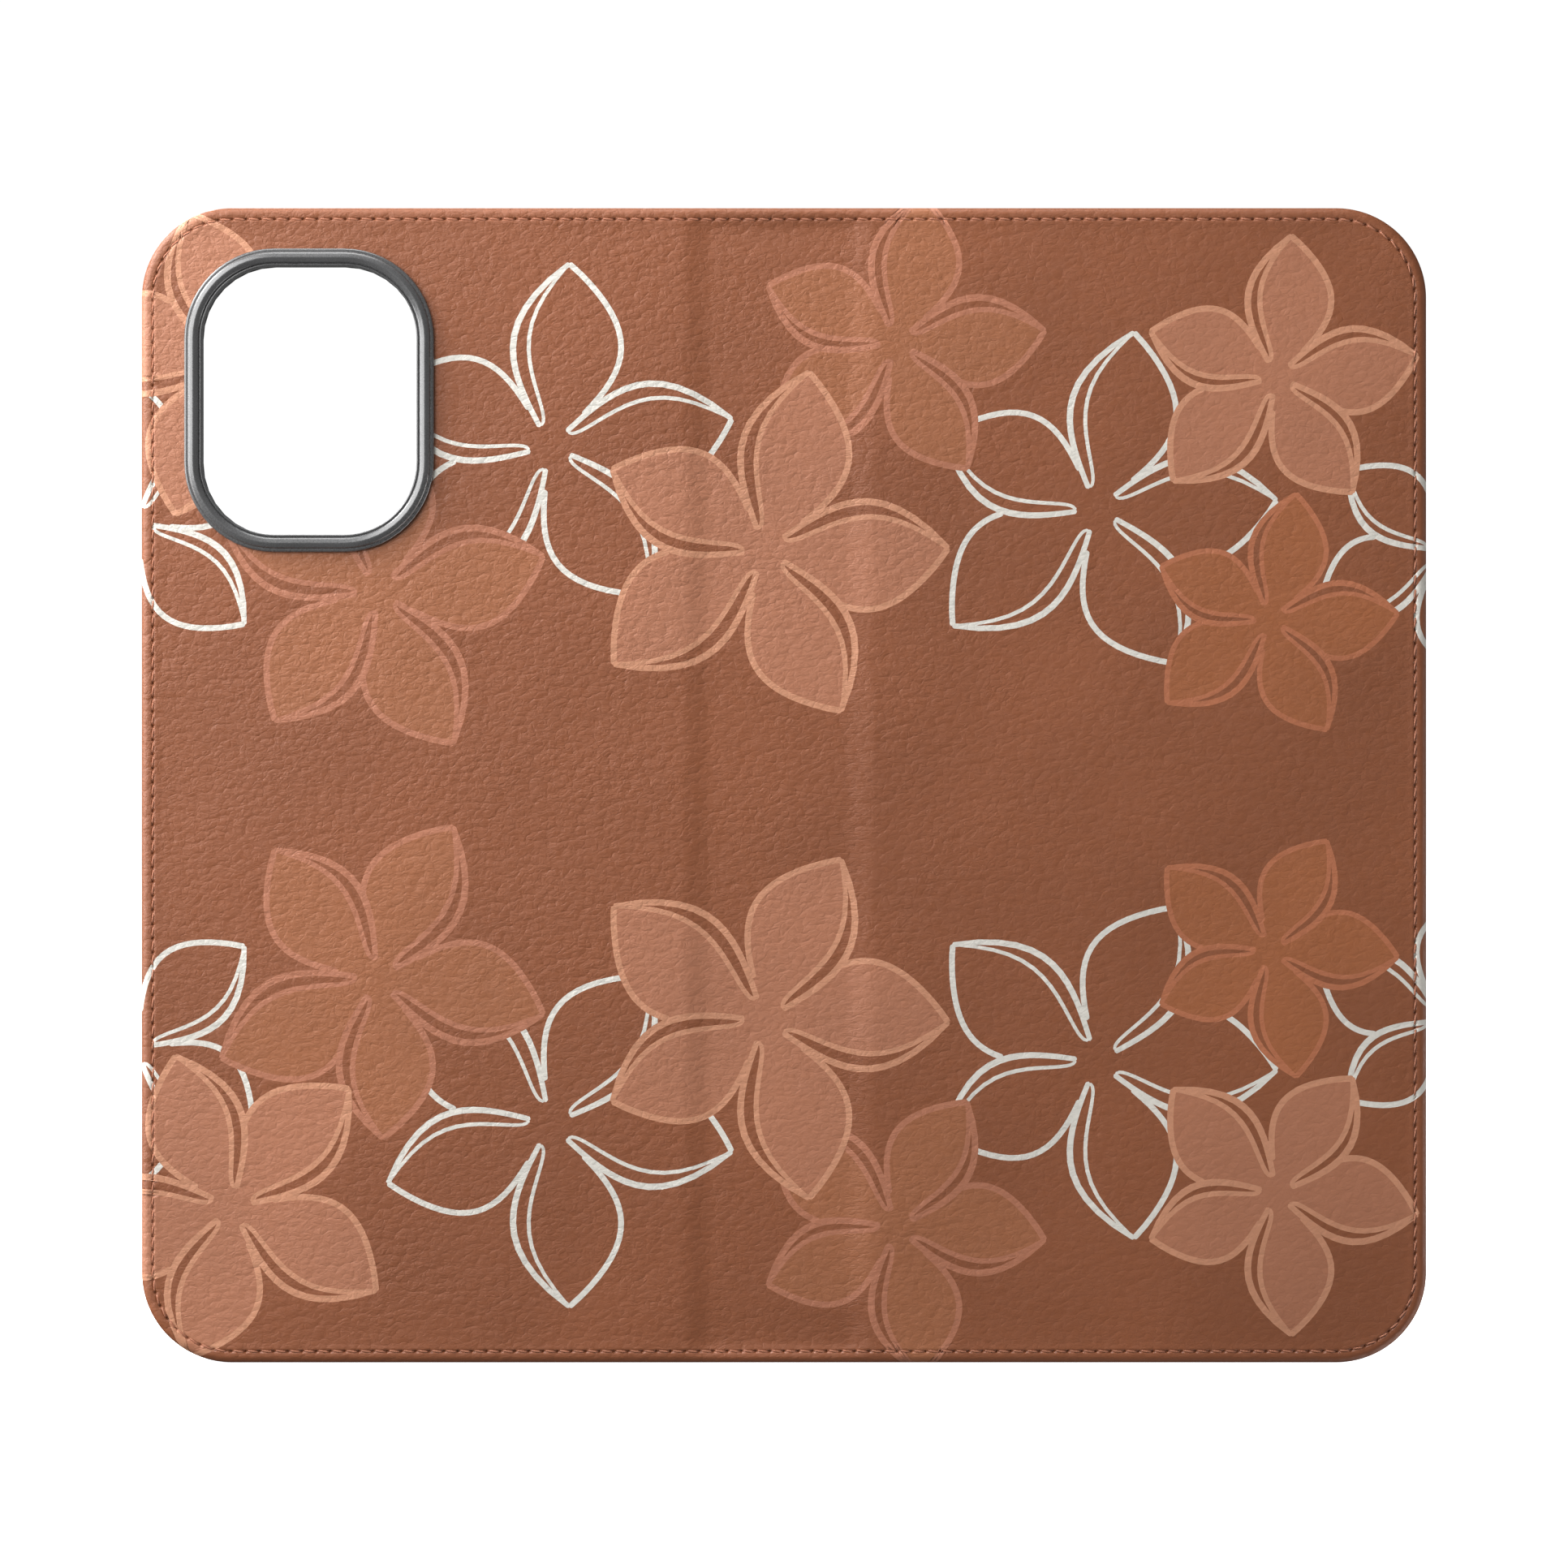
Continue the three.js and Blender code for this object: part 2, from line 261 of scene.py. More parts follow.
def triangulate(rect, rings, step, x_span, columns, rows, holes, shapes, details):
    """Triangles of a rounded rectangle between two places along X.

    rings are distances in from the edge that get a row of points, and details are more points. shapes are
    polygons painted over each other; each triangle comes back with the number of the last shape that covers
    it, or -1.
    """
    layout = Layout()
    edge, normals = rect.inset(SEAM_INSET).walk(step)
    layout.add_loop(edge + normals * (SEAM_INSET - rings[0]))
    for d in rings[1:]:
        layout.add(edge + normals * (SEAM_INSET - d))
    layout.add(grid_points(rect, rings[-1] + GRID_GAP, columns, rows, holes))
    layout.add(details)
    for hole in holes:
        layout.add_loop(hole.walk(HOLE_STEP)[0])
    for shape in shapes:
        layout.add_loop(shape)
    splits = []
    for x in x_span:
        if rect.x0 < x < rect.x1:
            first = layout.add([[x, rect.z0 - 1], [x, rect.z1 + 1]])
            splits.append((first, first + 1))
            from_edge = np.array(rings)
            clear_rows = rows[np.abs(rows) < rect.z1 - SPLIT_END]
            on_split = np.r_[rect.z0 + from_edge, clear_rows, rect.z1 - from_edge]
            layout.add(np.stack([np.full_like(on_split, x), on_split], axis=-1))
    flat = [Vector(p) for p in np.concatenate(layout.points).tolist()]
    found, _, triangles, _, _, covers = delaunay_2d_cdt(flat, splits, layout.loops, 0, 1e-5, True)
    places = np.array([(v.x, v.y) for v in found])
    first_shape = 1 + len(holes)
    kept, shape_of = [], []
    for triangle, cover in zip(triangles, covers):
        inside = 0 in cover and x_span[0] < places[triangle, 0].mean() < x_span[1]
        in_hole = any(1 <= c < first_shape for c in cover)
        if inside and not in_hole:
            kept.append(list(triangle))
            shape_of.append(max(max(cover) - first_shape, -1))
    return places, kept, shape_of


def compact(places, triangles):
    """The points that the triangles use, and the triangles numbered to match."""
    used = sorted({i for t in triangles for i in t})
    number = {old: new for new, old in enumerate(used)}
    return places[used], [[number[i] for i in t] for t in triangles]


def height_normals(x, z, height, facing):
    """Normals of the surface at y = face + facing * height."""
    e = 0.02
    slope_x = (height(x + e, z) - height(x - e, z)) / (2 * e)
    slope_z = (height(x, z + e) - height(x, z - e)) / (2 * e)
    n = np.stack([-slope_x, np.full_like(slope_x, facing), -slope_z], axis=-1)
    return n / np.linalg.norm(n, axis=1, keepdims=True)


def sheet_normals(x, z, depth, out, height, facing):
    """Normals of a sheet's face, which turn outwards at its edge."""
    back = np.where(depth < NORMAL_INSET, NORMAL_INSET - depth, 0)
    normals = height_normals(x - out[:, 0] * back, z - out[:, 1] * back, height, facing)
    on_edge = np.abs(depth) < ON_EDGE
    lean = np.full(on_edge.sum(), EDGE_LEAN * facing)
    normals[on_edge] = np.stack([out[on_edge, 0], lean, out[on_edge, 1]], axis=-1)
    return normals, on_edge


def turn_edge(verts, normals, faces, out, on_edge, profile, facing):
    """Carries a sheet on round its edge, along a profile of (inset, y) points."""
    rim = [(a, b) for a, b in open_edges(faces) if on_edge[a] and on_edge[b]]
    edge = sorted({i for pair in rim for i in pair})
    edge_x, edge_z = verts[edge, 0], verts[edge, 2]
    out_x, out_z = out[edge, 0], out[edge, 1]
    profile = [(0.0, verts[edge[0], 1]), *profile]
    previous = {i: i for i in edge}
    for k in range(1, len(profile)):
        inset, y = profile[k]
        before, after = profile[k - 1], profile[min(k + 1, len(profile) - 1)]
        along = np.array([before[0] - after[0], after[1] - before[1]])
        along /= np.linalg.norm(along)
        outwards, up = -along[1] * facing, along[0] * facing
        current = {i: len(verts) + j for j, i in enumerate(edge)}
        loop = np.stack([edge_x - out_x * inset, np.full(len(edge), y), edge_z - out_z * inset], axis=-1)
        loop_normals = np.stack([out_x * outwards, np.full(len(edge), up), out_z * outwards], axis=-1)
        verts = np.concatenate([verts, loop])
        normals = np.concatenate([normals, loop_normals])
        faces = faces + [[previous[b], previous[a], current[a], current[b]] for a, b in rim]
        previous = current
    return verts, normals, faces


def thicken(verts, normals, faces, thick):
    """Closes an open sheet with a second face below it and walls between the two."""
    count = len(verts)
    under = [[i + count for i in reversed(face)] for face in faces]
    walls = [[b, a, a + count, b + count] for a, b in open_edges(faces)]
    verts = np.concatenate([verts, verts - normals * thick])
    normals = np.concatenate([normals, -normals])
    return verts, normals, faces + under + walls


def sheet(name, rect, height, face_y, facing, thick, rings, step, x_span, columns, rows,
          holes=(), shapes=(), details=NO_POINTS, turned_edge=()):
    """A sheet with thickness, and for each face the number of the shape painted on it, or -1."""
    found = triangulate(rect, rings, step, x_span, columns, rows, holes, shapes, details)
    places, triangles, shape_of = found
    places, faces = compact(places, triangles)
    x, z = places[:, 0], places[:, 1]
    depth, out = rect.depth(x, z), rect.outward(x, z)
    normals, on_edge = sheet_normals(x, z, depth, out, height, facing)
    verts = np.stack([x, face_y + facing * height(x, z), z], axis=-1)
    if turned_edge:
        verts, normals, faces = turn_edge(verts, normals, faces, out, on_edge, turned_edge, facing)
    normals /= np.linalg.norm(normals, axis=1, keepdims=True)
    verts, normals, faces = thicken(verts, normals, faces, thick)
    if facing > 0:
        faces = [face[::-1] for face in faces]
    shape_of += [-1] * (len(faces) - len(shape_of))
    return new_object(name, verts, faces, normals), shape_of


def fold_columns(x0, x1, coarse):
    """Places along X: coarse in the panels and close together where a fold bends."""
    places = [np.arange(x0, x1, coarse)]
    for fold in FOLDS:
        places.append(np.arange(fold - 6.5, fold + 6.6, 0.35))
    return np.unique(np.concatenate(places).round(3))


# ---- outer leather ----

EDGE_ROLL = 1.1
EDGE_DROP = 0.85

# The leather steps down to the spine beside one fold, up beside the other, and down past the boards' ends.
SPINE_RECESS = 0.32
STEP_DOWN = (SPINE_FOLD - 5.9, SPINE_FOLD - 1.5)
STEP_UP = (COVER_FOLD - 1.4, COVER_FOLD + 3.4)
END_RECESS = 0.13
BOARD_END = (76.5, 79.5)

# The thread pulls a groove into the leather, with a soft ridge beside it and a dimple at each needle hole.
GROOVE = 0.12
GROOVE_OUTER_WALL = (1.34, 1.57)
GROOVE_INNER_WALL = (1.72, 1.87)
RIDGE = 0.03
NEEDLE_HOLE = 0.3
HOLE_RADIUS = 0.14
HOLE_REACH = 0.8

SEAM_POINTS, SEAM_NORMALS = SEAM.walk(STITCH / PER_STITCH)
STITCH_COUNT = len(SEAM_POINTS) // PER_STITCH
NEEDLE_POINTS = SEAM_POINTS[::PER_STITCH][:STITCH_COUNT]
NEEDLE_TREE = KDTree(STITCH_COUNT)
for i, (hole_x, hole_z) in enumerate(NEEDLE_POINTS):
    NEEDLE_TREE.insert((hole_x, hole_z, 0), i)
NEEDLE_TREE.balance()


def needle_holes(x, z, near):
    """Dimples where the needle went through, for the points that are near the seam."""
    dimple = np.zeros_like(x)
    for i in np.flatnonzero(near):
        _, _, distance = NEEDLE_TREE.find((x[i], z[i], 0))
        dimple[i] = math.exp(-((distance / HOLE_RADIUS) ** 2))
    return dimple


def hole_details():
    """Points close round each needle hole, so that the dimples stay small."""
    out = SEAM_NORMALS[::PER_STITCH][:STITCH_COUNT]
    along = np.stack([-out[:, 1], out[:, 0]], axis=-1)
    return np.concatenate([
        NEEDLE_POINTS + along * a + out * b
        for a in (-0.15, 0.15)
        for b in (-0.09, 0.0, 0.09)
    ])


def outer_form(x, z):
    """Large forms of the outside: the recessed spine, the boards' ends and slight waves."""
    spine = smooth(x, *STEP_DOWN) - smooth(x, *STEP_UP)
    ends = smooth(np.abs(z), *BOARD_END)
    waves = 0.035 * np.sin(x * 0.11 + 1.7) * np.sin(z * 0.083 + 0.6)
    waves = waves + 0.02 * np.sin(x * 0.23 - z * 0.17) + 0.014 * np.sin(x * 0.05 + z * 0.31)
    return -SPINE_RECESS * spine - END_RECESS * ends * (0.25 + 0.75 * spine) + waves


def outer_height(x, z):
    """The large forms, the rolled edge, the seam's groove and the needle holes."""
    d = np.maximum(CASE.depth(x, z), 0)
    near = np.abs(d - SEAM_INSET) < HOLE_REACH
    h = outer_form(x, z) * smooth(d, 0.2, 3.0) - EDGE_DROP * round_over(d, EDGE_ROLL)
    h = h - GROOVE * smooth(d, *GROOVE_OUTER_WALL) * (1 - smooth(d, *GROOVE_INNER_WALL))
    h = h + RIDGE * bell(d, 2.15, 0.3)
    return h - NEEDLE_HOLE * needle_holes(x, z, near)


# Round the edge and down to where the lining covers the leather's end, as (inset, y).
TURNED_EDGE = [
    (-0.02, OUTER_FACE + 1.2),
    (0.0, OUTER_FACE + 1.6),
    (0.10, INNER_FACE - 0.62),
    (0.24, INNER_FACE - 0.30),
    (0.46, INNER_FACE - 0.09),
    (0.74, INNER_FACE - 0.02),
    (1.0, INNER_FACE - 0.10),
    (1.2, INNER_FACE - 0.34),
]


# ---- printed blossoms ----

# Ink of the fill and of the lines, and the widths of the outer and the inner line. An ink is its albedo
# and how much of the leather it hides.
STYLES = {
    "white": (None, (0.80, 0.77, 0.70, 0.97), 0.92, 0.58),
    "tan": ((0.48, 0.193, 0.104, 0.88), (0.645, 0.298, 0.171, 0.93), 1.0, 0.78),
    "terracotta": ((0.385, 0.138, 0.057, 0.88), (0.485, 0.187, 0.103, 0.92), 1.0, 0.78),
    "umber": ((0.40, 0.13, 0.045, 0.85), (0.51, 0.172, 0.078, 0.92), 0.85, 0.66),
}
BARE = (0.0, 0.0, 0.0, 0.0)

# Blossoms of the upper half, first painted first: style, centre X and Z, petal length, turn in degrees.
BLOSSOMS = [
    ("white", 18, 49, 26.5, 84),
    ("white", 97, 40, 26, 78),
    ("white", 147, 34, 19, 64),
    ("white", -42, 38, 21.5, -43),
    ("terracotta", -7, 28, 24.5, 12),
    ("terracotta", 68, 64, 21.5, 80),
    ("umber", 122, 24, 18.5, 78),
    ("tan", 49, 34, 26.5, 76),
    ("tan", 123, 59, 20.5, 84),
    ("tan", -28, 61, 24, 30),
]

# Each petal's extra turn in radians, and its share of the blossom's petal length.
PETALS = ((0.0, 1.0), (0.07, 0.94), (-0.05, 1.03), (0.06, 0.97), (-0.06, 1.0))

# A petal's form in petal lengths, and how many points its curves have.
LEAD_WIDTH = 0.26
TRAIL_WIDTH = 0.33
INNER_START = 0.11
TRAIL_START = 0.2
TIP = 0.995
HEART_RADIUS = 0.3
PETAL_STEPS = 18
HEART_STEPS = 12

CAP_ANGLES = (-1.0, 0.0, 1.0)


class Petal(NamedTuple):
    """Where a petal grows from, its length and angle, and which way round its blossom turns, 1 or -1."""

    x: float
    z: float
    length: float
    angle: float
    hand: int

    def place(self, along, beside):
        """Points given along and beside the petal, in petal lengths, in the plane of the case."""
        c, s = math.cos(self.angle), math.sin(self.angle)
        along, beside = np.asarray(along) * self.length, np.asarray(beside) * self.length * self.hand
        return np.stack([self.x + along * c - beside * s, self.z + along * s + beside * c], axis=-1)


def petal_side(u, width):
    """Half width of a petal at a share of its length, as a share of the length."""
    return width * np.sin(np.pi * u**1.15) ** 0.9


def between(u, lead, trail):
    """Outline of the space between two curves that share their ends."""
    return np.r_[u, u[-2:0:-1]], np.r_[lead, trail[-2:0:-1]]


def ribbon(points, widths):
    """Polygon of a line of changing width with round ends."""
    along = np.gradient(points, axis=0)
    along /= np.linalg.norm(along, axis=1, keepdims=True)
    side = np.stack([-along[:, 1], along[:, 0]], axis=-1)
    half = widths[:, None] / 2

    def cap(end, sign):
        ahead, left = along[end] * sign, side[end] * sign
        return [points[end] + (ahead * math.cos(a) - left * math.sin(a)) * half[end] for a in CAP_ANGLES]

    return np.concatenate([points + side * half, cap(-1, 1), (points - side * half)[::-1], cap(0, -1)])


def counterclockwise(polygon):
    x, z = polygon[:, 0], polygon[:, 1]
    area = np.sum(x * np.roll(z, -1) - np.roll(x, -1) * z)
    return polygon if area > 0 else polygon[::-1]


def inside_petal(point, angle, hand):
    """Whether a point, in petal lengths from the blossom's middle, lies in the petal at an angle."""
    u = point[0] * math.cos(angle) + point[1] * math.sin(angle)
    s = hand * (point[1] * math.cos(angle) - point[0] * math.sin(angle))
    return 0 < u < 1 and -petal_side(u, TRAIL_WIDTH) < s < petal_side(u, LEAD_WIDTH)


def trail_start(petal, next_angle):
    """Where along a petal its trailing edge comes out from under the next petal."""
    unit = petal._replace(x=0.0, z=0.0, length=1.0)
    start = TRAIL_START
    while start < 0.9:
        point = unit.place(start, -petal_side(start, TRAIL_WIDTH))
        if not inside_petal(point, next_angle, petal.hand):
            break
        start += 0.02
    return start


def petal_shapes(petal, next_angle, wide, thin):
    """A petal's fill, the bare gap along its leading edge, and its three lines."""
    u = np.linspace(0.0, 1.0, PETAL_STEPS)
    fill = petal.place(*between(u, petal_side(u, LEAD_WIDTH), -petal_side(u, TRAIL_WIDTH)))
    # The second line leaves the leading edge in a round bend and meets it again at the tip.
    t = u**1.8
    v = INNER_START + t * (TIP - INNER_START)
    edge = petal_side(v, LEAD_WIDTH)
    inner = edge - 0.2 * t**0.45 * (1 - t) ** 0.8
    gap = petal.place(*between(v, edge, inner))
    swell = 0.8 + 0.2 * np.sin(np.pi * t)
    # The trailing edge stops where it meets the next petal's leading edge.
    w = np.linspace(trail_start(petal, next_angle), TIP, PETAL_STEPS)
    lines = [
        ribbon(petal.place(v, inner), thin * swell),
        ribbon(petal.place(v, edge), wide * swell),
        ribbon(petal.place(w, -petal_side(w, TRAIL_WIDTH)), np.full(PETAL_STEPS, wide * 0.9)),
    ]
    return fill, gap, lines


def blossom(style, cx, cz, length, turn, hand):
    """Painted shapes of one blossom as (polygon, ink), first painted first."""
    fill, line, wide, thin = STYLES[style]
    first = math.radians(turn) * hand
    angles = [first + hand * (k * math.tau / len(PETALS) + extra) for k, (extra, _) in enumerate(PETALS)]
    fills, gaps, lines = [], [], []
    for k, (_, share) in enumerate(PETALS):
        petal = Petal(cx, cz, length * share, angles[k], hand)
        petal_fill, gap, petal_lines = petal_shapes(petal, angles[k - 1], wide, thin)
        fills.append(petal_fill)
        gaps.append(gap)
        lines += petal_lines
    shapes = [(p, line) for p in lines]
    if fill:
        radius = HEART_RADIUS * length
        around = np.linspace(0, math.tau, HEART_STEPS, endpoint=False)
        fills.append(np.array([(cx + radius * math.cos(a), cz + radius * math.sin(a)) for a in around]))
        shapes = [(p, fill) for p in fills] + [(p, BARE) for p in gaps] + shapes
    return [(counterclockwise(p), ink) for p, ink in shapes]


def print_shapes():
    """Each blossom and its mirror image in the lower half."""
    shapes = []
    for style, cx, cz, length, turn in BLOSSOMS:
        for hand in (1, -1):
            shapes += blossom(style, cx, cz * hand, length, turn, hand)
    return shapes


# ---- materials ----


class Nodes:
    """Short calls for a material's nodes. Textures are laid out in millimetres."""

    def __init__(self, name, base, rough, **sockets):
        self.material = bpy.data.materials.new(name)
        self.material.use_nodes = True
        self.tree = self.material.node_tree
        self.shader = self.tree.nodes["Principled BSDF"]
        self.fill(self.shader, Base_Color=base, Roughness=rough, **sockets)
        coordinates = self.tree.nodes.new("ShaderNodeTexCoord")
        self.place = self.mapping(coordinates.outputs["Object"], Scale=(1 / MM, 1 / MM, 1 / MM))

    def fill(self, node, **inputs):
        """Links and values for a node's sockets; i0, i1 and so on are sockets by number."""
        for key, value in inputs.items():
            numbered = key[0] == "i" and key[1:].isdigit()
            socket = node.inputs[int(key[1:]) if numbered else key.replace("_", " ")]
            if isinstance(value, bpy.types.Node):
                value = value.outputs[0]
            if isinstance(value, bpy.types.NodeSocket):
                self.tree.links.new(value, socket)
            elif socket.type == "RGBA":
                socket.default_value = (*value, 1)
            else:
                socket.default_value = value

    def node(self, kind, settings=None, **inputs):
        made = self.tree.nodes.new(kind)
        for key, value in (settings or {}).items():
            setattr(made, key, value)
        self.fill(made, **inputs)
        return made

    def mapping(self, where, **inputs):
        return self.node("ShaderNodeMapping", Vector=where, **inputs)

    def attribute(self, name):
        return self.node("ShaderNodeAttribute", {"attribute_name": name})

    def cells(self, feature, scale, where):
        made = self.node("ShaderNodeTexVoronoi", {"feature": feature}, Scale=scale, Vector=where)
        return made.outputs["Distance"]

    def noise(self, scale, detail=2.0, rough=0.5, where=None):
        made = self.node("ShaderNodeTexNoise", Scale=scale, Detail=detail, Roughness=rough,
                         Vector=where or self.place)
        return made.outputs["Fac"]

    def math(self, operation, *values):
        inputs = {f"i{k}": value for k, value in enumerate(values)}
        return self.node("ShaderNodeMath", {"operation": operation}, **inputs).outputs[0]

    def ramp(self, value, low, high, to_low=0.0, to_high=1.0):
        made = self.node("ShaderNodeMapRange", Value=value, From_Min=low, From_Max=high,
                         To_Min=to_low, To_Max=to_high)
        return made.outputs[0]

    def vary(self, noise, low=0.0, high=1.0):
        """A noise between two values; most of a noise lies between 0.3 and 0.7."""
        return self.ramp(noise, 0.3, 0.7, low, high)

    def lines(self, noise, width, floor=0.0):
        """Narrow low lines where a noise passes through its middle, and 1 elsewhere."""
        return self.ramp(self.math("ABSOLUTE", self.math("SUBTRACT", noise, 0.5)), 0.0, width, floor)

    def mix(self, factor, a, b, blend="MIX"):
        made = self.node("ShaderNodeMix", {"data_type": "RGBA", "blend_type": blend}, i0=factor, i6=a, i7=b)
        return made.outputs[2]

    def shade(self, colour, tone_and_crease_shade):
        """A colour made darker or lighter by a factor near 1."""
        grey = self.node("ShaderNodeCombineColor", Red=tone_and_crease_shade, Green=tone_and_crease_shade, Blue=tone_and_crease_shade)
        return self.mix(1.0, colour, grey, "MULTIPLY")

    def bump(self, height, distance):
        return self.node("ShaderNodeBump", Height=height, Distance=distance * MM, Strength=1.0).outputs[0]

    def finish(self, **sockets):
        """Fills the shader's sockets and gives the material back."""
        self.fill(self.shader, **sockets)
        return self.material

    def mottled(self, pattern, dark, light, bump, **sockets):
        """Finishes with a colour and a bump that follow one pattern."""
        colour = self.mix(self.vary(pattern), dark, light)
        return self.finish(Base_Color=colour, Normal=self.bump(pattern, bump), **sockets)


def grain(n, cell):
    """Leather grain as (wrinkles, height): two sizes of pebble, creases between them, folds and pores."""
    warp = n.node("ShaderNodeTexNoise", Scale=0.6, Detail=2.0, Vector=n.place)
    pushed = n.node("ShaderNodeVectorMath", {"operation": "MULTIPLY_ADD"}, i0=warp.outputs["Color"],
                    i1=(0.9, 0.9, 0.9), i2=n.place)
    leaning = n.mapping(pushed, Scale=(0.66, 1.0, 1.0), Rotation=(0, 0.35, 0))
    mound = n.math("SUBTRACT", 1.0, n.math("POWER", n.cells("F1", 1 / cell, leaning), 2.0))
    bead = n.math("SUBTRACT", 1.0, n.math("POWER", n.cells("F1", 2.2 / cell, leaning), 2.0))
    crease = n.ramp(n.cells("DISTANCE_TO_EDGE", 1.25 / cell, leaning), 0.0, 0.14)
    stretched = n.mapping(n.place, Scale=(0.4, 1.0, 0.9), Rotation=(0, 0.3, 0))
    wrinkle = n.math("MULTIPLY", crease, n.lines(n.noise(0.55, 2.0, 0.5, stretched), 0.03, 0.6))
    height = n.math("MULTIPLY_ADD", bead, 0.25, n.math("MULTIPLY", mound, 0.75))
    height = n.math("MULTIPLY_ADD", wrinkle, 0.16, height)
    height = n.math("MULTIPLY", height, n.vary(n.noise(0.12, 1.0), 0.75, 1.0))
    height = n.math("MULTIPLY_ADD", n.noise(4.0, 3.0, 0.6), 0.05, height)
    return wrinkle, height


LEATHER_ALBEDO = (0.285, 0.089, 0.033)


def printed_leather():
    """Tan leather whose ink, relief and stretch marks come from the mesh."""
    n = Nodes("printed_leather", LEATHER_ALBEDO, 0.5, Specular_IOR_Level=0.65)
    wrinkle, height = grain(n, 0.9)
    along_fold = n.mapping(n.place, Scale=(0.28, 1.0, 1.6), Rotation=(0, 0.25, 0))
    marks = n.lines(n.noise(0.9, 3.0, 0.6, along_fold), 0.06)
    marks = n.math("MULTIPLY", marks, n.attribute("stretch").outputs["Fac"])
    height = n.math("MULTIPLY", height, n.attribute("relief").outputs["Fac"])
    height = n.math("MULTIPLY_ADD", marks, 0.16, height)
    # Besides a random tone, the leather is up to 4% darker in the grain's creases and wrinkles: painted crease
    # shade.
    tone_and_crease_shade = n.math("MULTIPLY", n.vary(n.noise(0.035, 2.0), 0.93, 1.07), n.ramp(wrinkle, 0.0, 1.0, 0.96, 1.0))
    ink = n.attribute("print")
    return n.finish(
        Base_Color=n.shade(n.mix(ink.outputs["Alpha"], LEATHER_ALBEDO, ink.outputs["Color"]), tone_and_crease_shade),
        Roughness=n.vary(n.noise(0.9, 3.0), 0.44, 0.56),
        Normal=n.bump(height, 0.124),
    )


def lining_leather(name, albedo):
    n = Nodes(name, albedo, 0.7)
    wrinkle, height = grain(n, 1.1)
    # Besides a random tone, the lining is up to 10% darker in the grain's creases and wrinkles: painted crease
    # shade.
    tone_and_crease_shade = n.math("MULTIPLY", n.vary(n.noise(0.05, 2.0), 0.94, 1.06), n.ramp(wrinkle, 0.0, 1.0, 0.9, 1.0))
    return n.finish(
        Base_Color=n.shade(albedo, tone_and_crease_shade),
        Roughness=n.vary(n.noise(1.2, 3.0), 0.6, 0.75),
        Normal=n.bump(height, 0.085),
    )


def thread_material():
    n = Nodes("thread", (0.40, 0.16, 0.09), 0.62)
    strands = n.noise(9.0, 3.0, 0.6, n.mapping(n.place, Rotation=(0, 0.6, 0)))
    return n.mottled(strands, (0.38, 0.142, 0.076), (0.49, 0.195, 0.112), 0.03)


def ring_plastic():
    """Smoky satin plastic."""
    n = Nodes("ring_plastic", (0.085, 0.085, 0.086), 0.26, IOR=1.6, Specular_IOR_Level=1.0)
    return n.finish(
        Base_Color=n.mix(n.vary(n.noise(0.12, 2.0)), (0.076, 0.076, 0.077), (0.096, 0.096, 0.098)),
        Roughness=n.vary(n.noise(2.5, 4.0, 0.6), 0.24, 0.31),
        Normal=n.bump(n.noise(3.0, 3.0), 0.006),
    )


def shell_plastic():
    n = Nodes("shell_plastic", (0.03, 0.03, 0.033), 0.42)
    roughness = n.vary(n.noise(0.4, 3.0), 0.36, 0.5)
    speckle = n.noise(7.0, 3.0, 0.7)
    return n.mottled(speckle, (0.024, 0.024, 0.027), (0.038, 0.038, 0.042), 0.02, Roughness=roughness)


def fibre_board():
    n = Nodes("fibre_board", (0.49, 0.41, 0.28), 0.9)
    strands = n.noise(3.0, 4.0, 0.7, n.mapping(n.place, Scale=(1, 1, 0.25)))
    return n.mottled(strands, (0.40, 0.32, 0.21), (0.56, 0.48, 0.34), 0.05)


def adhesive_sheet():
    n = Nodes("adhesive_sheet", (0.8, 0.76, 0.69), 0.5)
    return n.mottled(n.noise(2.0, 3.0), (0.74, 0.70, 0.62), (0.83, 0.80, 0.74), 0.02)


def plate_steel():
    n = Nodes("plate_steel", (0.55, 0.56, 0.57), 0.35, Metallic=1.0)
    strokes = n.noise(1.0, 4.0, 0.6, n.mapping(n.place, Scale=(12, 12, 0.4)))
    return n.finish(Roughness=n.vary(strokes, 0.28, 0.45), Normal=n.bump(strokes, 0.01))


LEATHER = printed_leather()
LINING = lining_leather("lining_leather", (0.19, 0.075, 0.042))
POCKET = lining_leather("pocket_leather", (0.225, 0.09, 0.05))
THREAD = thread_material()
RING_PLASTIC = ring_plastic()
SHELL_PLASTIC = shell_plastic()
BOARD = fibre_board()
ADHESIVE = adhesive_sheet()
STEEL = plate_steel()


def finish_piece(obj, material, replaced, body=None, across=None):
    """Material, slot, the CAD nodes it stands for, and the body it rides on; a piece across a fold keeps its
    place in the world instead.
    """
    obj.data.materials.append(material)
    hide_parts(*replaced)
    if across:
        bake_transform(obj)
    else:
        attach(obj, body)


# ---- outer leather skins ----

# Rows of points by distance in from the edge, close together on the rolled edge and across the groove.
OUTER_RINGS = [0, 0.02, 0.07, 0.16, 0.28, 0.43, 0.6, 0.8, 1.0, 1.2]
OUTER_RINGS += [1.34, 1.45, 1.56, 1.65, 1.74, 1.84, 1.95, 2.2, 2.6, 3.2]


def paint(obj, shape_of, inks):
    """Gives each face its shape's ink."""
    colours = np.array([*inks, BARE])[shape_of]
    corners = np.array([polygon.loop_total for polygon in obj.data.polygons])
    attribute = obj.data.attributes.new("print", "FLOAT_COLOR", "CORNER")
    attribute.data.foreach_set("color", np.repeat(colours, corners, axis=0).ravel())


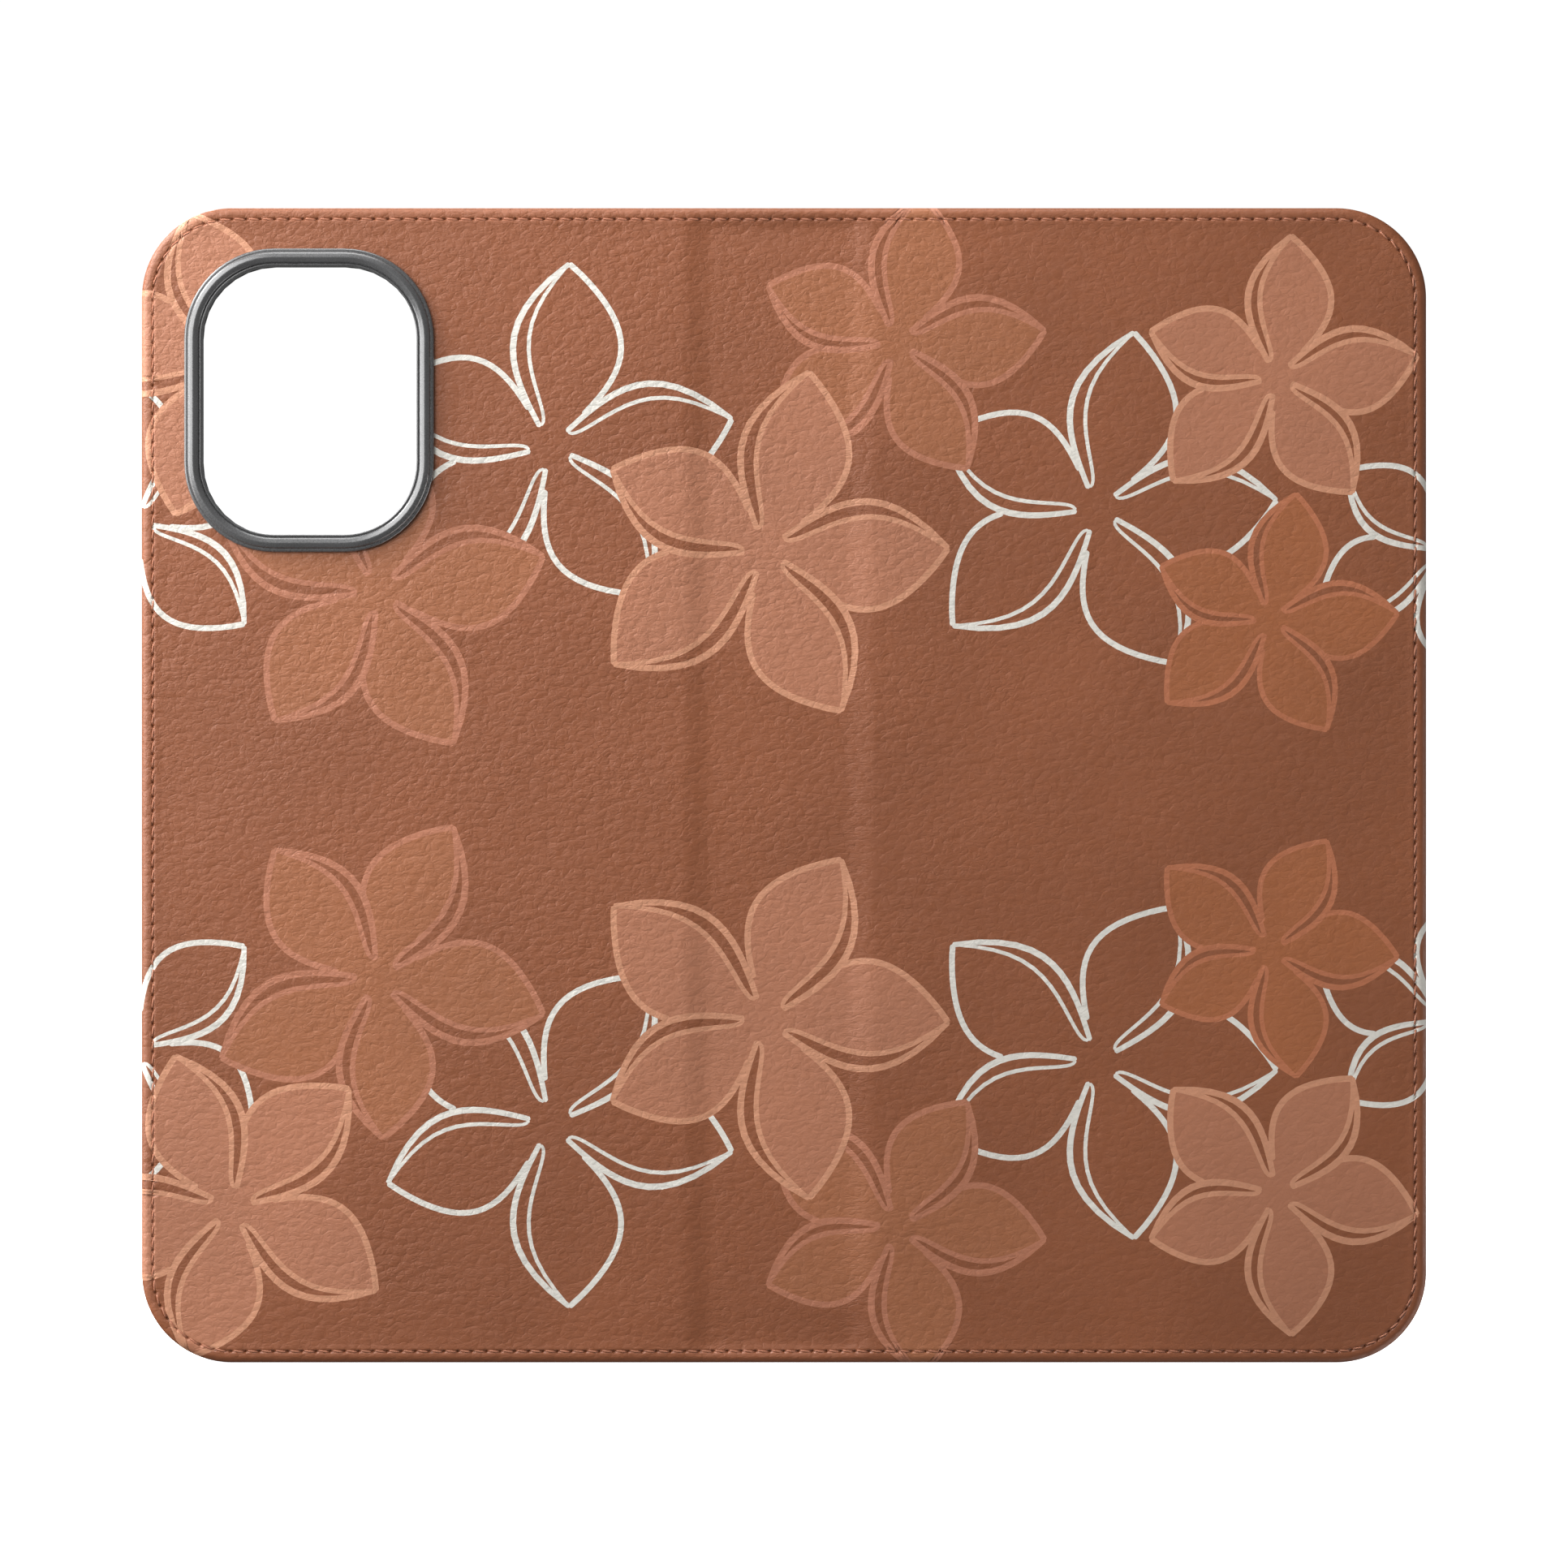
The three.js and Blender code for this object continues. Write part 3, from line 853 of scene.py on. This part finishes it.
def mark_wear(obj):
    """Where the grain lies flatter, towards the free edge and the bottom, and where folds stretch it."""
    x = np.array([v.co.x for v in obj.data.vertices]) / MM
    z = np.array([v.co.z for v in obj.data.vertices]) / MM
    relief = (1 - 0.42 * smooth(x, 20, 120)) * (1 - 0.28 * smooth(z, 60, -75))
    stretch = bell(x, COVER_FOLD, 2.2) + 0.5 * bell(x, SPINE_FOLD, 2.0)
    for layer, values in (("relief", relief), ("stretch", stretch)):
        obj.data.attributes.new(layer, "FLOAT", "POINT").data.foreach_set("value", values)


def outer_leather():
    polygons, inks = zip(*print_shapes())
    columns = fold_columns(CASE.x0 + 1, CASE.x1, 2.0)
    rows = np.arange(CASE.z0 + 1.5, CASE.z1, 2.5)
    for half, (x_span, across) in HALVES.items():
        obj, shape_of = sheet(
            f"{half}_leather_skin", CASE, outer_height, OUTER_FACE, -1, LEATHER_THICK, OUTER_RINGS,
            STITCH / PER_STITCH, x_span, columns, rows,
            holes=[LEATHER_HOLE], shapes=polygons, details=hole_details(), turned_edge=TURNED_EDGE,
        )
        paint(obj, shape_of, inks)
        mark_wear(obj)
        nodes = [f"{field}_leather" for field in FIELDS[half]]
        finish_piece(obj, LEATHER, nodes, across=across)


# ---- lining ----

LINING_INSET = 1.0
LINING_RECT = CASE.inset(LINING_INSET)
LINING_RINGS = [0, 0.06, 0.16, 0.32, 0.5, 0.65, 0.8, 1.0, 1.3, 1.8, 2.6]
SHEET_ROLL = 0.3


def lining_height(x, z):
    """A flat field with rolled edges, a groove under the seam and a hollow along each fold."""
    d = np.maximum(LINING_RECT.depth(x, z), 0)
    h = 0.06 - 0.22 * round_over(d, SHEET_ROLL) - 0.17 * bell(d, SEAM_INSET - LINING_INSET, 0.2)
    for fold in FOLDS:
        h = h - 0.5 * bell(x, fold, 1.7) * smooth(d, 0, 2.0)
    return h + 0.02 * np.sin(x * 0.2 + 1.0) * np.sin(z * 0.14) * smooth(d, 0.5, 4.0)


def lining():
    columns = fold_columns(CASE.x0 + 2, CASE.x1, 4.0)
    rows = np.arange(CASE.z0 + 2, CASE.z1, 4.0)
    for half, (x_span, across) in HALVES.items():
        obj, _ = sheet(
            f"{half}_lining_skin", LINING_RECT, lining_height, INNER_FACE, 1, LINING_THICK, LINING_RINGS,
            1.2, x_span, columns, rows, holes=[LEATHER_HOLE],
        )
        nodes = [f"{field}_lining" for field in FIELDS[half]]
        finish_piece(obj, LINING, nodes, across=across)


# ---- stitches ----

THREAD_RADIUS = 0.15
THREAD_SIDES = 8
THREAD_STEPS = 9
THREAD_DIVE = 0.28
THREAD_RISE = 0.35
PLY_SWELL = 0.14
PLY_TURNS = 1.3


def end_caps(count, around):
    """The two faces that close a tube of count points, which has around points in each ring."""
    return [list(range(around))[::-1], list(range(count - around, count))]


def stitch(start, end, out, surface_y, facing, slant):
    """One stitch from hole to hole: a two-ply thread that rises out of one hole and dives into the next."""
    verts = []
    t = np.linspace(0, 1, THREAD_STEPS)
    arch = np.sin(np.pi * t) ** 0.35
    for k in range(THREAD_STEPS):
        middle = start + (end - start) * t[k]
        beside = slant * (t[k] - 0.5) * 2
        y = surface_y + facing * (-THREAD_DIVE + THREAD_RISE * arch[k])
        centre = np.array([middle[0] + out[0] * beside, y, middle[1] + out[1] * beside])
        thick = THREAD_RADIUS * (0.55 + 0.45 * arch[k])
        for j in range(THREAD_SIDES):
            angle = math.tau * j / THREAD_SIDES
            ply = thick * (1 + PLY_SWELL * math.cos(2 * angle + math.tau * PLY_TURNS * t[k]))
            sideways = ply * math.cos(angle)
            upwards = facing * ply * 0.8 * math.sin(angle)
            verts.append(centre + np.array([out[0] * sideways, upwards, out[1] * sideways]))
    faces = []
    for k in range(THREAD_STEPS - 1):
        for j in range(THREAD_SIDES):
            a, b = k * THREAD_SIDES + j, k * THREAD_SIDES + (j + 1) % THREAD_SIDES
            faces.append([a, b, b + THREAD_SIDES, a + THREAD_SIDES])
    return verts, faces + end_caps(len(verts), THREAD_SIDES)


def stitches(name, points, normals, surface, facing, keep, slant=0.13):
    """All the stitches of a seam whose middles pass keep(x, z)."""
    verts, faces = [], []
    for first in range(0, len(points) // PER_STITCH * PER_STITCH, PER_STITCH):
        a, b = points[first], points[(first + PER_STITCH) % len(points)]
        middle = points[first + PER_STITCH // 2]
        if not keep(*middle):
            continue
        direction = (b - a) / np.linalg.norm(b - a)
        a, b = a + direction * STITCH_GAP, b - direction * STITCH_GAP
        y = surface(np.array([middle[0]]), np.array([middle[1]]))[0]
        new_verts, new_faces = stitch(a, b, normals[first + PER_STITCH // 2], y, facing, slant)
        faces += [[v + len(verts) for v in face] for face in new_faces]
        verts += new_verts
    if facing > 0:
        faces = [face[::-1] for face in faces]
    return new_object(name, verts, faces)


def outer_surface(x, z):
    """The floor of the seam's groove on the outside."""
    return OUTER_FACE - (outer_form(x, z) * 0.53 - GROOVE)


def inner_surface(x, z):
    """The lining under the seam, which dips at the folds."""
    dip = sum(0.4 * bell(x, fold, 1.7) for fold in FOLDS)
    return INNER_FACE - 0.05 - dip


def seam_nodes(half, side):
    """The CAD nodes that one half of an edge seam stands for."""
    if half == "cover":
        return [f"cover_{side}_stitching"]
    return [f"back_{side}_stitching", f"spine_{side}_stitching_upper", f"spine_{side}_stitching_lower"]


def edge_seams():
    for side, surface, facing in (("outer", outer_surface, -1), ("inner", inner_surface, 1)):
        for half, ((x0, x1), across) in HALVES.items():
            obj = stitches(f"{half}_{side}_seam", SEAM_POINTS, SEAM_NORMALS, surface, facing,
                           lambda x, z: x0 < x < x1)
            finish_piece(obj, THREAD, seam_nodes(half, side), across=across)


# ---- camera ring and shell ----


def loft(rect, profile, corner_steps=14, closed=True):
    """Rings of points round a rounded rectangle, one for each (outward offset, y) of the profile."""
    turns = [(1, -1, -0.5), (1, 1, 0.0), (-1, 1, 0.5), (-1, -1, 1.0)]
    base, normals = [], []
    for side_x, side_z, start in turns:
        hub_x = rect.x1 - rect.r if side_x > 0 else rect.x0 + rect.r
        hub_z = rect.z1 - rect.r if side_z > 0 else rect.z0 + rect.r
        for k in range(corner_steps + 1):
            angle = math.pi * (start + 0.5 * k / corner_steps)
            n = (math.cos(angle), math.sin(angle))
            base.append((hub_x + rect.r * n[0], hub_z + rect.r * n[1]))
            normals.append(n)
    verts = [
        (x + n[0] * offset, y, z + n[1] * offset)
        for offset, y in profile
        for (x, z), n in zip(base, normals)
    ]
    around = len(base)
    faces = []
    last = len(profile) if closed else len(profile) - 1
    for k in range(last):
        for j in range(around):
            a, b = k * around + j, k * around + (j + 1) % around
            c = ((k + 1) % len(profile)) * around
            faces.append([a, b, c + (j + 1) % around, c + j])
    return verts, faces, around


def arc(centre, radius_x, radius_y, start, end, steps):
    """Points of an elliptical arc in a profile, angles in turns."""
    return [
        (centre[0] + radius_x * math.cos(math.tau * a), centre[1] + radius_y * math.sin(math.tau * a))
        for a in np.linspace(start, end, steps)
    ]


# The ring's bead from the lip to the rim, as offset from the opening and depth below the ring's top.
BEAD = [(0.44, 0.40), (0.49, 0.31), (0.58, 0.24), (0.75, 0.16), (0.95, 0.075), (1.08, 0.02), (1.2, 0.0)]
BEAD += [(1.32, 0.02), (1.45, 0.065), (1.62, 0.13), (1.78, 0.2), (1.87, 0.26), (1.92, 0.35)]


def camera_ring():
    """Rounded bead that stands proud of the leather, between a flat outer rim and a thin inner lip."""
    leather = OUTER_FACE + 0.12
    lip, rim = RING_TOP + 0.5, RING_TOP + 0.62
    profile = [(0.0, RING_FOOT), (0.0, lip + 0.3)]
    profile += arc((0.15, lip + 0.14), 0.15, 0.14, 0.5, 1.0, 7)
    profile += [(0.33, lip + 0.2), (0.39, lip + 0.17)]
    profile += [(offset, RING_TOP + depth) for offset, depth in BEAD]
    profile += [(1.95, rim + 0.02), (2.02, rim)]
    profile += arc((2.22, rim + 0.28), 0.28, 0.28, 0.76, 1.0, 7)
    profile += [(RING_WIDTH, leather - 0.1), (RING_WIDTH - 0.12, leather), (1.6, leather), (1.6, RING_FOOT)]
    verts, faces, _ = loft(CAMERA, profile)
    obj = new_object("guard_ring_bead", verts, [face[::-1] for face in faces])
    finish_piece(obj, RING_PLASTIC, ["camera_guard_ring"], "back_panel")


def recalculate(obj):
    """Turns every face outwards."""
    mesh = bmesh.new()
    mesh.from_mesh(obj.data)
    bmesh.ops.recalc_face_normals(mesh, faces=mesh.faces)
    mesh.to_mesh(obj.data)
    mesh.free()


def apply_modifiers(obj):
    graph = bpy.context.evaluated_depsgraph_get()
    finished = bpy.data.meshes.new_from_object(obj.evaluated_get(graph))
    obj.modifiers.clear()
    obj.data = finished


def prism(rect, low, high, along, steps=6):
    """A closed prism of a rounded rectangle between two places along X, Y or Z, to cut with."""
    verts, faces, around = loft(rect, [(0, low), (0, high)], steps, closed=False)
    order = {"X": (1, 0, 2), "Y": (0, 1, 2), "Z": (0, 2, 1)}[along]
    verts = [[v[k] for k in order] for v in verts]
    tool = new_object("cutter", verts, faces + end_caps(len(verts), around), shade=False)
    recalculate(tool)
    return tool


def cut_away(obj, tools):
    for tool in tools:
        cut = obj.modifiers.new("cut", "BOOLEAN")
        cut.operation = "DIFFERENCE"
        cut.solver = "EXACT"
        cut.object = tool


def soften(obj):
    """Rounds the sharp edges that the cuts leave."""
    bevel = obj.modifiers.new("soften", "BEVEL")
    bevel.width = 0.16 * MM
    bevel.segments = 2
    bevel.limit_method = "ANGLE"
    bevel.angle_limit = math.radians(40)
    obj.modifiers.new("weights", "WEIGHTED_NORMAL")


# Openings in the shell's walls. The first direction is Y in the side wall, and the second is Y in the ends.
SIDE_BUTTONS = Rect(1.6, 6.6, 8.0, 50.0, 1.6)
CHARGING_PORT = Rect(-6.5, 6.5, 1.6, 6.6, 1.8)
SPEAKER = Rect(12.5, 27.5, 1.8, 6.4, 1.8)
MICROPHONE = Rect(10.3, 13.7, 2.8, 5.0, 1.05)
CUT_REACH = 3.0


def shell_profile(low, high):
    """The shell's wall from its floor up the inside, over the lip and down the outside."""
    wall, lip, lip_height = 1.2, 0.8, 1.0
    profile = [(-1.0 - wall, 0.0), (-wall - 0.25, 0.0), (-wall - 0.06, 0.06), (-wall, 0.25)]
    profile += [(-wall, high - lip_height - 0.35), (-wall - 0.25, high - lip_height - 0.1)]
    profile += arc((-wall - lip + 0.45, high - 0.5), 0.45, 0.5, 0.5, 0.25, 6)
    profile += arc((-0.95, high - 1.0), 0.95, 1.0, 0.25, 0.0, 8)
    profile += arc((-1.6, low + 1.2), 1.6, 1.2, 0.0, -0.25, 8)
    return profile


def phone_shell():
    """Snap-in tray with rounded rims, cut for the camera, the side buttons and the sockets."""
    (x0, low, z0), (x1, high, z1) = node_box("phone_shell")
    verts, faces, around = loft(Rect(x0, x1, z0, z1, 10.8), shell_profile(low, high), 12, closed=False)
    obj = new_object("phone_tray", verts, faces + end_caps(len(verts), around))
    recalculate(obj)
    tools = [
        prism(CAMERA, low - 2, 1.0, "Y", 8),
        prism(SIDE_BUTTONS, x0 - CUT_REACH, x0 + CUT_REACH, "X"),
        prism(CHARGING_PORT, z0 - CUT_REACH, z0 + CUT_REACH, "Z"),
        prism(SPEAKER, z0 - CUT_REACH, z0 + CUT_REACH, "Z"),
        prism(MICROPHONE, z1 - CUT_REACH, z1 + CUT_REACH, "Z"),
    ]
    cut_away(obj, tools)
    soften(obj)
    apply_modifiers(obj)
    for tool in tools:
        bpy.data.objects.remove(tool)
    finish_piece(obj, SHELL_PLASTIC, ["phone_shell"], "back_panel")


# ---- pockets ----

POCKET_RINGS = [0, 0.05, 0.14, 0.3, 0.6, 1.0, 1.25, 1.5, 1.75, 2.1, 3.0]
MOUTH_COLUMNS = [0.05, 0.14, 0.3, 0.6, 1.1, 1.6, 1.9, 2.2, 2.5, 2.9]
POCKET_SEAM = 1.5
HEM = 2.2


def pocket_sheet(name, node, outline, mouth):
    """A pocket sheet with rolled edges, a groove along its seam and a hem at its mouth."""
    low, high = (corner[1] for corner in node_box(node))

    def height(x, z):
        d = np.maximum(outline.depth(x, z), 0)
        from_mouth = np.maximum(x - mouth, 0)
        d_all = np.minimum(d, from_mouth)
        h = -0.24 * round_over(d_all, SHEET_ROLL) - 0.12 * bell(d, POCKET_SEAM, 0.22)
        h = h - 0.09 * bell(from_mouth, HEM, 0.22) + 0.05 * bell(from_mouth, HEM / 2, 0.6)
        return h + 0.05 * smooth(d_all, 2.0, 9.0)

    columns = np.unique(np.r_[mouth + np.array(MOUTH_COLUMNS), np.arange(mouth + 4, outline.x1, 4.0)])
    rows = np.arange(outline.z0 + 1, outline.z1, 4.0)
    obj, _ = sheet(name, outline, height, high, 1, high - low - 0.05, POCKET_RINGS, 1.2,
                   (mouth, math.inf), columns, rows)
    finish_piece(obj, POCKET, [node], "front_cover")


def pocket_seam(name, node, outline, sheets):
    """Stitches along three sides, each lying on the topmost sheet below it."""
    points, normals = outline.inset(POCKET_SEAM).walk(STITCH / PER_STITCH)
    whole = len(points) // PER_STITCH * PER_STITCH

    def surface(x, z):
        tops = [node_box(sheet_node)[1][1] for sheet_node, mouth in sheets if x[0] > mouth + 0.5]
        return np.array([max(tops) - 0.02])

    first_mouth = min(mouth for _, mouth in sheets)
    obj = stitches(name, points[:whole], normals[:whole], surface, 1,
                   lambda x, z: x > first_mouth + 1.8, slant=0.1)
    finish_piece(obj, THREAD, [node], "front_cover")


def pockets():
    cash_low, cash_high = node_box("cash_pocket")
    cash = CASE.inset(CASE.x1 - cash_high[0])
    cards = rect_of("card_pocket_back", 3.0)
    card_nodes = [f"card_pocket_{place}" for place in ("back", "middle", "front")]
    card_sheets = [(node, node_box(node)[0][0]) for node in card_nodes]
    pocket_sheet("banknote_pocket_sheet", "cash_pocket", cash, cash_low[0])
    for node, mouth in card_sheets:
        pocket_sheet(f"{node}_sheet", node, cards, mouth)
    pocket_seam("banknote_pocket_seam", "cash_pocket_stitching", cash, [("cash_pocket", cash_low[0])])
    pocket_seam("card_pocket_seam", "card_pocket_stitching", cards, card_sheets)


# ---- CAD nodes that stay ----


def dress(node, material):
    slots = frame["nodes"][node].data.materials
    slots.clear()
    slots.append(material)


outer_leather()
lining()
edge_seams()
camera_ring()
phone_shell()
pockets()
for node in ("back_board", "spine_board", "cover_board"):
    dress(node, BOARD)
for node in ("keeper_plate_upper", "keeper_plate_lower", "cover_magnet_upper", "cover_magnet_lower"):
    dress(node, STEEL)
dress("shell_adhesive_pad", ADHESIVE)


# ---- stage, light and camera ----

FLOOR_REACH = 6000.0
FLOOR_GAP = 0.1

# The lights and the camera are in metres. Each light has its place from the centre, its width and its watts.
CENTRE = Vector(((CASE.x0 + CASE.x1) / 2 * MM, OUTER_FACE * MM, 0.0))
FRAME_WIDTH = 0.2267
CAMERA_LIFT = 0.00018
LIGHTS = {
    "key": ((-0.34, -0.32, 0.22), 0.5, 2.6),
    "rake": ((-0.43, -0.06, 0.36), 0.25, 3.2),
    "above": ((-0.05, -0.1, 0.42), 0.25, 0.75),
    "left": ((-0.45, -0.1, 0.03), 0.25, 0.85),
    "bounce": ((0.3, -0.07, -0.38), 0.4, 1.0),
    "side": ((0.4, -0.05, -0.12), 0.2, 0.75),
    "rear": ((-0.4, 1.0, 0.7), 0.8, 10.0),
}
WHITE = (1, 1, 1)
WORLD_AS_LIGHT = 0.15
WORLD_AS_SEEN = 1.05


def floor():
    """A white floor that the camera sees and that lights nothing."""
    z = CASE.z0 - FLOOR_GAP
    corners = [(x * FLOOR_REACH, y * FLOOR_REACH, z) for x, y in ((-1, -1), (1, -1), (1, 1), (-1, 1))]
    obj = new_object("floor", corners, [[0, 1, 2, 3]], shade=False)
    n = Nodes("floor_white", (0.93, 0.93, 0.93), 0.9, Emission_Color=WHITE, Emission_Strength=1.0)
    obj.data.materials.append(n.material)
    obj.visible_diffuse = False
    obj.visible_glossy = False


def area_light(name, place, size, power):
    data = bpy.data.lights.new(name, "AREA")
    data.shape = "DISK"
    data.size = size
    data.energy = power
    obj = bpy.data.objects.new(name, data)
    obj.location = CENTRE + Vector(place)
    obj.rotation_euler = (-Vector(place)).to_track_quat("-Z", "Y").to_euler()
    bpy.context.scene.collection.objects.link(obj)


def surroundings():
    """White to the camera and dimmer as a light."""
    world = bpy.data.worlds.new("studio")
    world.use_nodes = True
    tree = world.node_tree
    background = tree.nodes["Background"]
    background.inputs["Color"].default_value = (*WHITE, 1)
    path = tree.nodes.new("ShaderNodeLightPath")
    level = tree.nodes.new("ShaderNodeMapRange")
    level.inputs["To Min"].default_value = WORLD_AS_LIGHT
    level.inputs["To Max"].default_value = WORLD_AS_SEEN
    tree.links.new(path.outputs["Is Camera Ray"], level.inputs["Value"])
    tree.links.new(level.outputs[0], background.inputs["Strength"])
    bpy.context.scene.world = world


def camera():
    data = bpy.data.cameras.new("camera")
    data.lens = 180
    data.sensor_width = 36
    data.clip_end = 20
    distance = FRAME_WIDTH * data.lens / data.sensor_width
    obj = bpy.data.objects.new("camera", data)
    obj.location = CENTRE + Vector((0, -distance, CAMERA_LIFT))
    obj.rotation_euler = (math.pi / 2, 0, 0)
    bpy.context.scene.collection.objects.link(obj)
    bpy.context.scene.camera = obj


floor()
for name, (place, size, power) in LIGHTS.items():
    area_light(name, place, size, power)
surroundings()
camera()
bpy.context.scene.view_settings.view_transform = "Standard"
